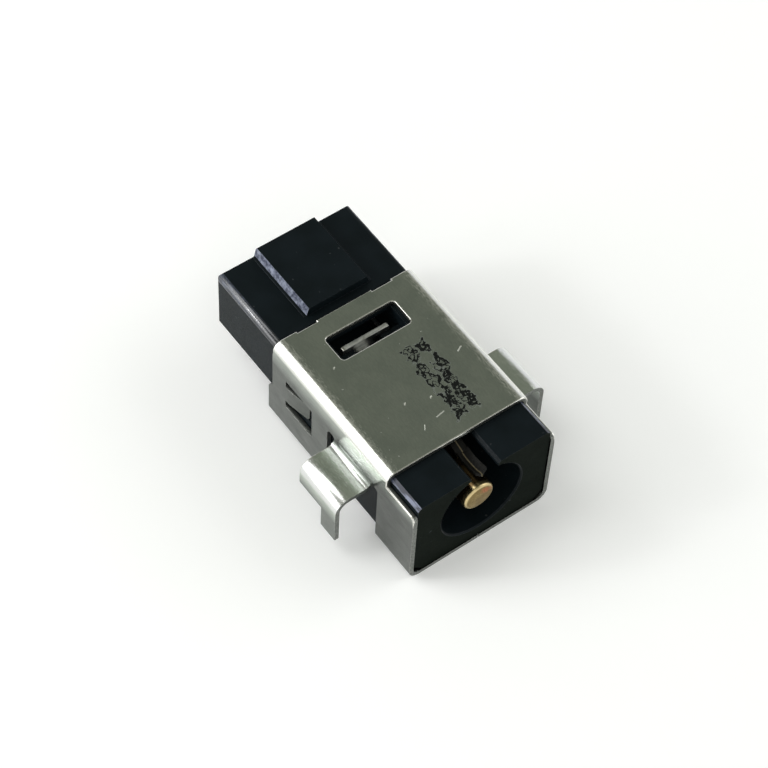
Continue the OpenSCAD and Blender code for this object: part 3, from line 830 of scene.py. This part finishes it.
# %% Housing
housing_finishes = (moulded, worn_plastic, flank_drag_and_sheen, mouth_face, shoulder, chamfer)
housing = merged_copy("housing", "housing_moulded", housing_finishes)
boss_foot = axis_z + 3.21 * MM
block_side = housing_high.x - 0.5 * MM
block_front = from_mouth(0, 14, 0).y
for face in housing.data.polygons:
    tilt = face.normal
    behind = face.center.y > block_front
    outer = abs(face.center.x) > block_side
    if abs(tilt.x) > 0.9 and tilt.z > 0.1 and face.center.z > boss_foot and behind:
        face.material_index = 2
    elif tilt.y < -0.99 and face.center.y < mouth_y + 0.5 * MM:
        face.material_index = 3
    elif behind and outer and tilt.x < -0.04 and tilt.z > 0.04:
        face.material_index = 4
    elif outer and abs(tilt.x) > 0.6 and tilt.z > 0.6:
        face.material_index = 5
soften(housing, 0.05, 1)
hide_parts("housing")
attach(housing, "root")
counts = [sum(f.material_index == i for f in housing.data.polygons) for i in range(6)]
print("housing: faces of each finish", counts)

# %% [markdown]
# ## Contacts inside
# The sleeve spring and the pin's terminal are small stampings. They show only in the window, in
# the slot and from below, and a fine rounding is enough for them.

# %% Contacts
spring = merged_copy("sleeve_spring", "sleeve_spring_tinned", (tin, burnished, sheared))
soften(spring, 0.02, 0)
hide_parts("sleeve_spring")
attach(spring, "root")

terminal = merged_copy("pin_terminal", "pin_terminal_tinned", (tin, burnished, sheared))
soften(terminal, 0.02, 1)
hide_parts("pin_terminal")
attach(terminal, "root")

# %% [markdown]
# ## Centre pin
# The pin is turned on a lathe, so it starts as a round bar: a cylinder at its size and place. The
# front rim is rounded with a bevel, the rear end is inset and drawn out into the thin spigot, and
# the spigot's end is widened into the riveted head.


# %% Centre pin
def pick_faces(piece, wanted):
    bpy.ops.object.mode_set(mode="OBJECT")
    for group in (piece.data.vertices, piece.data.edges, piece.data.polygons):
        for item in group:
            item.select = False
    for face in piece.data.polygons:
        face.select = wanted(face)
    bpy.ops.object.mode_set(mode="EDIT")


pin_r = (pin_high.x - pin_low.x) / 2
spigot_r = 0.4 * MM
head_r = 0.55 * MM
head = 0.28 * MM
tip_r = 0.18 * MM
shank_end = from_mouth(0, 9.2, 0).y
shank = shank_end - pin_low.y
deselect()
bpy.ops.mesh.primitive_cylinder_add(vertices=96, radius=pin_r, depth=shank,
                                    location=(0, pin_low.y + shank / 2, axis_z),
                                    rotation=(math.radians(90), 0, 0))
pin = bpy.context.object
pin.name = "centre_pin_gold"
bpy.ops.object.transform_apply(location=True, rotation=True, scale=True)
bpy.ops.object.mode_set(mode="EDIT")
bpy.ops.mesh.select_mode(type="FACE")

pick_faces(pin, lambda f: f.normal.y > 0.9)
bpy.ops.mesh.inset(thickness=pin_r - spigot_r)
spigot = pin_high.y - head - shank_end
bpy.ops.mesh.extrude_region_move(TRANSFORM_OT_translate={"value": (0, spigot, 0)})
bpy.ops.mesh.extrude_region_move(TRANSFORM_OT_translate={"value": (0, 0, 0)})
bpy.ops.transform.resize(value=(head_r / spigot_r, 1, head_r / spigot_r))
bpy.ops.mesh.extrude_region_move(TRANSFORM_OT_translate={"value": (0, head, 0)})

pick_faces(pin, lambda f: f.normal.y < -0.9)
bpy.ops.mesh.bevel(offset=tip_r, segments=5, affect="EDGES")
bpy.ops.mesh.select_all(action="SELECT")
bpy.ops.mesh.normals_make_consistent(inside=False)
bpy.ops.object.mode_set(mode="OBJECT")
bpy.ops.object.shade_smooth_by_angle(angle=math.radians(30))
pin.data.materials.append(gold)
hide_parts("centre_pin")
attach(pin, "root")
print("pin", [round(v / MM, 2) for v in pin.dimensions], "mm,", loose_ends(pin), "loose edges")
